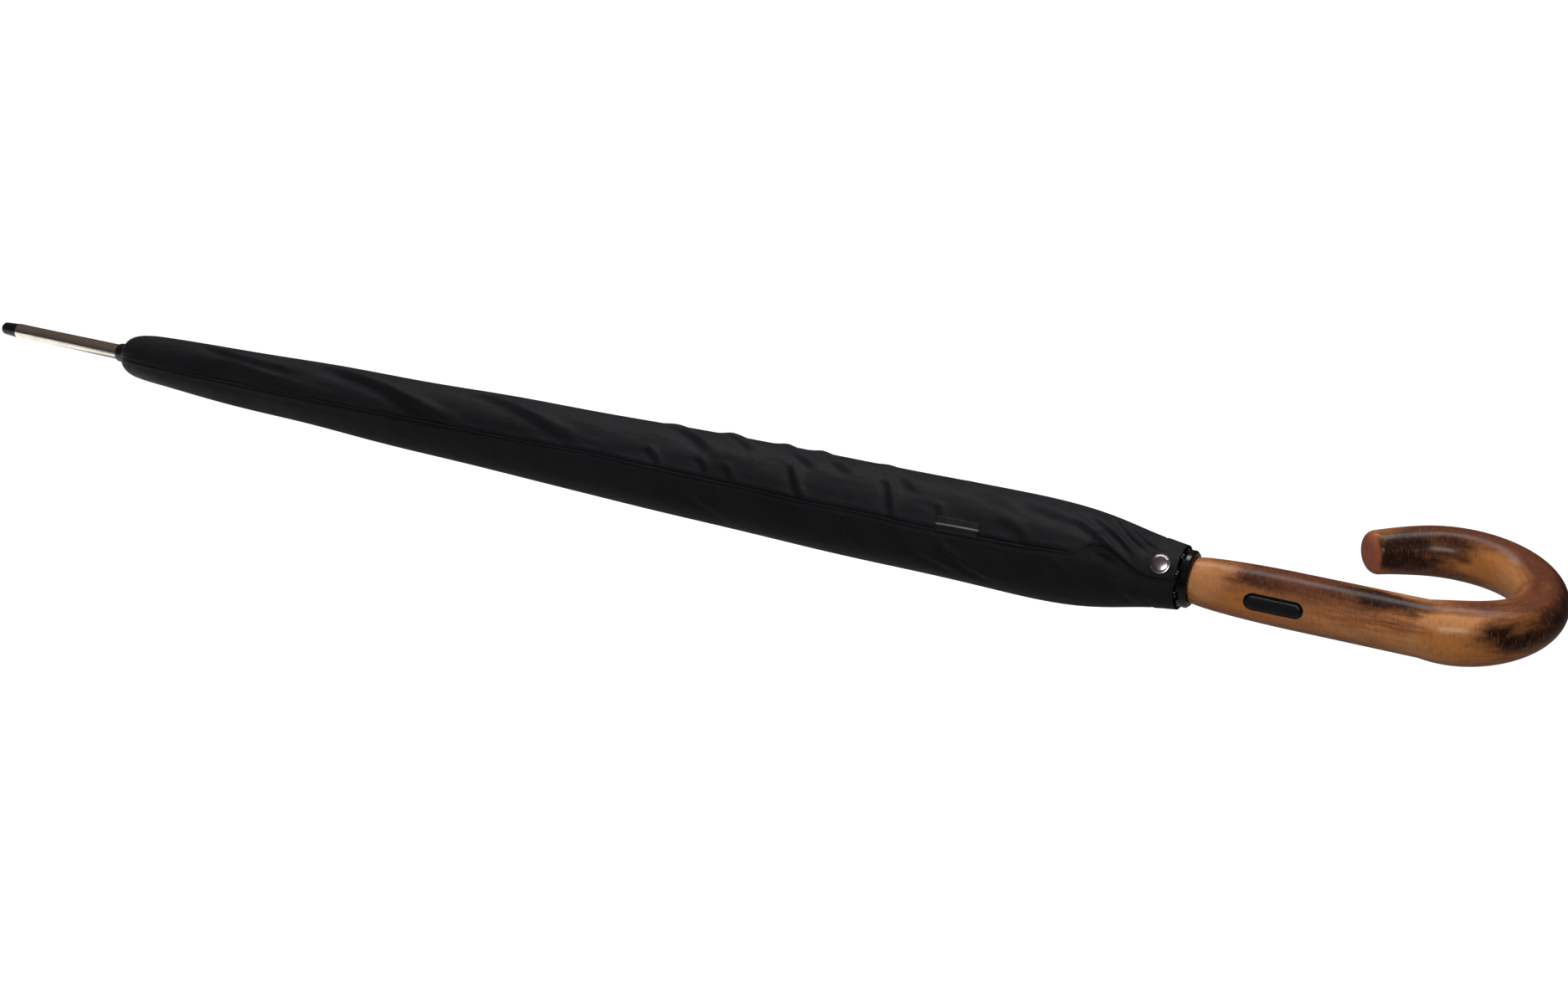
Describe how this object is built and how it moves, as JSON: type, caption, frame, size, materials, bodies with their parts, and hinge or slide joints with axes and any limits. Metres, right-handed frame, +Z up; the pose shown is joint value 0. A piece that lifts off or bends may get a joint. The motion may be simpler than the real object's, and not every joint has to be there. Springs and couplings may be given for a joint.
{
  "type": "stick umbrella",
  "caption": "Automatic stick umbrella with a wooden crook handle, closed inside a snap-mouthed travel sleeve; the canopy opens and the sleeve slides off.",
  "frame": {"origin": "on the shaft axis at the front face of the wooden handle", "axes": "+X along the shaft towards the crook, +Y towards the crook's free arm, +Z up with the umbrella lying flat"},
  "size_m": [0.8899, 0.1208, 0.0484],
  "materials": {
    "blackened_steel": "semi-gloss black lacquer on steel",
    "nickel": "polished nickel",
    "dark_metal": "dark lacquered metal",
    "spring_steel": "bright spring steel",
    "black_plastic": "satin black plastic",
    "gloss_black": "glossy black plastic",
    "lacquered_wood": "scorched chestnut-brown wood under semi-gloss lacquer",
    "canopy_fabric": "black polyester pongee",
    "sleeve_fabric": "black woven polyester",
    "woven_label": "black woven label with a plain grey stripe",
    "pewter": "dark polished pewter"
  },
  "bodies": {
    "frame": {"shaft_tube": "blackened_steel", "ferrule_tube": "nickel", "ferrule_tip": "black_plastic", "top_collar": "dark_metal", "canopy_cap": "canopy_fabric", "crown": "black_plastic", "crown_wire": "blackened_steel", "handle": "lacquered_wood", "shaft_plug": "black_plastic", "tip_cup": "black_plastic", "button_bezel": "black_plastic", "open_catch": "nickel", "lever_spring": "spring_steel", "lever_pin": "spring_steel", "drive_spring": "spring_steel"},
    "runner": {"runner": "black_plastic", "spring_plunger": "black_plastic", "coupling_pin": "spring_steel"},
    "push_button": {"push_button": "gloss_black"},
    "release_lever": {"release_lever": "spring_steel"},
    "sleeve": {"sleeve_fabric": "sleeve_fabric", "sleeve_piping": "sleeve_fabric", "sleeve_label": "woven_label", "snap_stud": "pewter"},
    "snap_flap": {"snap_flap": "sleeve_fabric", "snap_cap": "pewter", "snap_socket": "pewter"},
    "rib_1": {"rib_1": "blackened_steel", "rib_tip_1": "gloss_black"},
    "stretcher_1": {"stretcher_1": "blackened_steel"},
    "gore_1": {"canopy_gore_1": "canopy_fabric"},
    "rib_2": {"rib_2": "blackened_steel", "rib_tip_2": "gloss_black", "tie_strap": "canopy_fabric"},
    "stretcher_2": {"stretcher_2": "blackened_steel"},
    "gore_2": {"canopy_gore_2": "canopy_fabric"},
    "rib_3": {"rib_3": "blackened_steel", "rib_tip_3": "gloss_black"},
    "stretcher_3": {"stretcher_3": "blackened_steel"},
    "gore_3": {"canopy_gore_3": "canopy_fabric"},
    "rib_4": {"rib_4": "blackened_steel", "rib_tip_4": "gloss_black"},
    "stretcher_4": {"stretcher_4": "blackened_steel"},
    "gore_4": {"canopy_gore_4": "canopy_fabric"},
    "rib_5": {"rib_5": "blackened_steel", "rib_tip_5": "gloss_black"},
    "stretcher_5": {"stretcher_5": "blackened_steel"},
    "gore_5": {"canopy_gore_5": "canopy_fabric"},
    "rib_6": {"rib_6": "blackened_steel", "rib_tip_6": "gloss_black"},
    "stretcher_6": {"stretcher_6": "blackened_steel"},
    "gore_6": {"canopy_gore_6": "canopy_fabric"},
    "rib_7": {"rib_7": "blackened_steel", "rib_tip_7": "gloss_black"},
    "stretcher_7": {"stretcher_7": "blackened_steel"},
    "gore_7": {"canopy_gore_7": "canopy_fabric"},
    "rib_8": {"rib_8": "blackened_steel", "rib_tip_8": "gloss_black"},
    "stretcher_8": {"stretcher_8": "blackened_steel"},
    "gore_8": {"canopy_gore_8": "canopy_fabric"}
  },
  "joints": [
    {"name": "canopy_open", "type": "hinge", "parent": "frame", "child": "rib_1", "pos_m": [-0.612, -0.00871, -0.00225], "axis": [0, 0.2504, -0.9681], "range_deg": [0, 68], "deforming": ["canopy_gore_1", "canopy_gore_2", "canopy_gore_3", "canopy_gore_4", "canopy_gore_5", "canopy_gore_6", "canopy_gore_7", "canopy_gore_8", "tie_strap", "drive_spring", "open_catch", "release_lever", "sleeve_fabric", "sleeve_piping", "sleeve_label", "snap_stud", "snap_flap", "snap_cap", "snap_socket"]},
    {"name": "rib_2_turn", "type": "hinge", "parent": "frame", "child": "rib_2", "pos_m": [-0.612, -0.00457, -0.00775], "axis": [0, 0.8616, -0.5075], "range_deg": [0, 68.5]},
    {"name": "rib_3_turn", "type": "hinge", "parent": "frame", "child": "rib_3", "pos_m": [-0.612, 0.00225, -0.00871], "axis": [0, 0.9681, 0.2504], "range_deg": [0, 68.5]},
    {"name": "rib_4_turn", "type": "hinge", "parent": "frame", "child": "rib_4", "pos_m": [-0.612, 0.00775, -0.00457], "axis": [0, 0.5075, 0.8616], "range_deg": [0, 68.5]},
    {"name": "rib_5_turn", "type": "hinge", "parent": "frame", "child": "rib_5", "pos_m": [-0.612, 0.00871, 0.00225], "axis": [0, -0.2504, 0.9681], "range_deg": [0, 68.5]},
    {"name": "rib_6_turn", "type": "hinge", "parent": "frame", "child": "rib_6", "pos_m": [-0.612, 0.00457, 0.00775], "axis": [0, -0.8616, 0.5075], "range_deg": [0, 68.5]},
    {"name": "rib_7_turn", "type": "hinge", "parent": "frame", "child": "rib_7", "pos_m": [-0.612, -0.00225, 0.00871], "axis": [0, -0.9681, -0.2504], "range_deg": [0, 68.5]},
    {"name": "rib_8_turn", "type": "hinge", "parent": "frame", "child": "rib_8", "pos_m": [-0.612, -0.00775, 0.00457], "axis": [0, -0.5075, -0.8616], "range_deg": [0, 68.5]},
    {"name": "stretcher_1_turn", "type": "hinge", "parent": "rib_1", "child": "stretcher_1", "pos_m": [-0.322, -0.01607, -0.00416], "axis": [0, 0.2504, -0.9681], "range_deg": [-137, 0]},
    {"name": "stretcher_2_turn", "type": "hinge", "parent": "rib_2", "child": "stretcher_2", "pos_m": [-0.322, -0.00843, -0.0143], "axis": [0, 0.8616, -0.5075], "range_deg": [-137, 0]},
    {"name": "stretcher_3_turn", "type": "hinge", "parent": "rib_3", "child": "stretcher_3", "pos_m": [-0.322, 0.00416, -0.01607], "axis": [0, 0.9681, 0.2504], "range_deg": [-137, 0]},
    {"name": "stretcher_4_turn", "type": "hinge", "parent": "rib_4", "child": "stretcher_4", "pos_m": [-0.322, 0.0143, -0.00843], "axis": [0, 0.5075, 0.8616], "range_deg": [-137, 0]},
    {"name": "stretcher_5_turn", "type": "hinge", "parent": "rib_5", "child": "stretcher_5", "pos_m": [-0.322, 0.01607, 0.00416], "axis": [0, -0.2504, 0.9681], "range_deg": [-137, 0]},
    {"name": "stretcher_6_turn", "type": "hinge", "parent": "rib_6", "child": "stretcher_6", "pos_m": [-0.322, 0.00843, 0.0143], "axis": [0, -0.8616, 0.5075], "range_deg": [-137, 0]},
    {"name": "stretcher_7_turn", "type": "hinge", "parent": "rib_7", "child": "stretcher_7", "pos_m": [-0.322, -0.00416, 0.01607], "axis": [0, -0.9681, -0.2504], "range_deg": [-137, 0]},
    {"name": "stretcher_8_turn", "type": "hinge", "parent": "rib_8", "child": "stretcher_8", "pos_m": [-0.322, -0.0143, 0.00843], "axis": [0, -0.5075, -0.8616], "range_deg": [-137, 0]},
    {"name": "runner_slide", "type": "slide", "parent": "frame", "child": "runner", "axis": [-1, 0, 0], "range_m": [0, 0.37782]},
    {"name": "gore_1_unfold", "type": "hinge", "parent": "rib_1", "child": "gore_1", "pos_m": [-0.44519, -0.22156, -0.16696], "axis": [-0.5289, 0.6778, 0.5108], "range_deg": [0, 49.93]},
    {"name": "gore_2_unfold", "type": "hinge", "parent": "rib_2", "child": "gore_2", "pos_m": [-0.44519, -0.03861, -0.27473], "axis": [-0.5289, 0.1181, 0.8404], "range_deg": [0, 49.93]},
    {"name": "gore_3_unfold", "type": "hinge", "parent": "rib_3", "child": "gore_3", "pos_m": [-0.44519, 0.16696, -0.22156], "axis": [-0.5289, -0.5108, 0.6778], "range_deg": [0, 49.93]},
    {"name": "gore_4_unfold", "type": "hinge", "parent": "rib_4", "child": "gore_4", "pos_m": [-0.44519, 0.27473, -0.03861], "axis": [-0.5289, -0.8404, 0.1181], "range_deg": [0, 49.93]},
    {"name": "gore_5_unfold", "type": "hinge", "parent": "rib_5", "child": "gore_5", "pos_m": [-0.44519, 0.22156, 0.16696], "axis": [-0.5289, -0.6778, -0.5108], "range_deg": [0, 49.93]},
    {"name": "gore_6_unfold", "type": "hinge", "parent": "rib_6", "child": "gore_6", "pos_m": [-0.44519, 0.03861, 0.27473], "axis": [-0.5289, -0.1181, -0.8404], "range_deg": [0, 49.93]},
    {"name": "gore_7_unfold", "type": "hinge", "parent": "rib_7", "child": "gore_7", "pos_m": [-0.44519, -0.16696, 0.22156], "axis": [-0.5289, 0.5108, -0.6778], "range_deg": [0, 49.93]},
    {"name": "gore_8_unfold", "type": "hinge", "parent": "rib_8", "child": "gore_8", "pos_m": [-0.44519, -0.27473, 0.03861], "axis": [-0.5289, 0.8404, -0.1181], "range_deg": [0, 49.93]},
    {"name": "button_press", "type": "slide", "parent": "frame", "child": "push_button", "axis": [0, 0.9903, -0.1392], "range_m": [0, 0.0016], "deforming": ["lever_spring"]},
    {"name": "lever_turn", "type": "hinge", "parent": "frame", "child": "release_lever", "pos_m": [0.014, -0.00822, 0.00116], "axis": [0, 0.1392, 0.9903], "range_deg": [0, 4.1]},
    {"name": "sleeve_slide", "type": "slide", "parent": "frame", "child": "sleeve", "axis": [-1, 0, 0], "range_m": [0, 0.69]},
    {"name": "flap_open", "type": "hinge", "parent": "sleeve", "child": "snap_flap", "pos_m": [-0.0055, -0.00608, 0.01399], "axis": [-0.9839, -0.0713, 0.164], "range_deg": [0, 60]}
  ],
  "couplings": [
    {"joint": "rib_2_turn", "follows": "canopy_open", "ratio": 1},
    {"joint": "rib_3_turn", "follows": "canopy_open", "ratio": 1},
    {"joint": "rib_4_turn", "follows": "canopy_open", "ratio": 1},
    {"joint": "rib_5_turn", "follows": "canopy_open", "ratio": 1},
    {"joint": "rib_6_turn", "follows": "canopy_open", "ratio": 1},
    {"joint": "rib_7_turn", "follows": "canopy_open", "ratio": 1},
    {"joint": "rib_8_turn", "follows": "canopy_open", "ratio": 1},
    {"joint": "stretcher_1_turn", "follows": "canopy_open", "ratio": -2},
    {"joint": "stretcher_2_turn", "follows": "canopy_open", "ratio": -2},
    {"joint": "stretcher_3_turn", "follows": "canopy_open", "ratio": -2},
    {"joint": "stretcher_4_turn", "follows": "canopy_open", "ratio": -2},
    {"joint": "stretcher_5_turn", "follows": "canopy_open", "ratio": -2},
    {"joint": "stretcher_6_turn", "follows": "canopy_open", "ratio": -2},
    {"joint": "stretcher_7_turn", "follows": "canopy_open", "ratio": -2},
    {"joint": "stretcher_8_turn", "follows": "canopy_open", "ratio": -2},
    {"joint": "runner_slide", "follows": "canopy_open", "m_per_rad": 0.3175},
    {"joint": "gore_1_unfold", "follows": "canopy_open", "ratio": 0.72685},
    {"joint": "gore_2_unfold", "follows": "canopy_open", "ratio": 0.72685},
    {"joint": "gore_3_unfold", "follows": "canopy_open", "ratio": 0.72685},
    {"joint": "gore_4_unfold", "follows": "canopy_open", "ratio": 0.72685},
    {"joint": "gore_5_unfold", "follows": "canopy_open", "ratio": 0.72685},
    {"joint": "gore_6_unfold", "follows": "canopy_open", "ratio": 0.72685},
    {"joint": "gore_7_unfold", "follows": "canopy_open", "ratio": 0.72685},
    {"joint": "gore_8_unfold", "follows": "canopy_open", "ratio": 0.72685},
    {"joint": "lever_turn", "follows": "button_press", "rad_per_m": 43}
  ]
}
